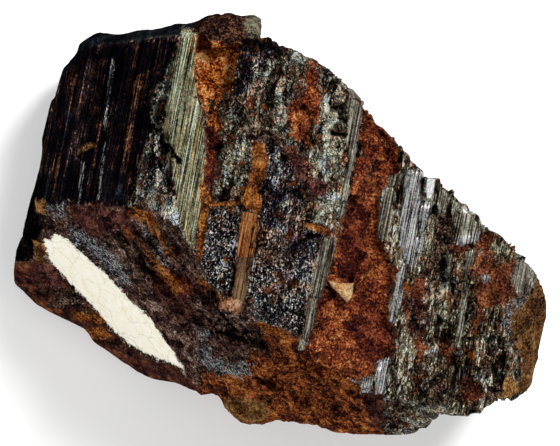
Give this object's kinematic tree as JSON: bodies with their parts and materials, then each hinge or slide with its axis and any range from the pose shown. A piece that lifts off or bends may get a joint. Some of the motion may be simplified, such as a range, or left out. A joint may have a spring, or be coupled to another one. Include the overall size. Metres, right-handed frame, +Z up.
{
  "type": "rutile specimen",
  "caption": "Hand-sized broken rutile crystal, flat on its back, with lined growth faces, a blocky silvery break, rust-filled veins and a worn patch of cream paint.",
  "frame": {"origin": "bottom centre of the bounding box, on the plane of the flat back the stone lies on", "axes": "+X along the longest extent, from the painted foot towards the rusty end; +Y towards the edge with the knob, close to the run of the growth lines; +Z up out of the broad silvery face"},
  "size_m": [0.0804, 0.0636, 0.0447],
  "materials": {
    "rutile_stone": "broken and striated, from dark metallic to earthy rust, with a patch of matt cream paint"
  },
  "bodies": {
    "root": {"rutile_crystal": "rutile_stone"}
  },
  "joints": []
}
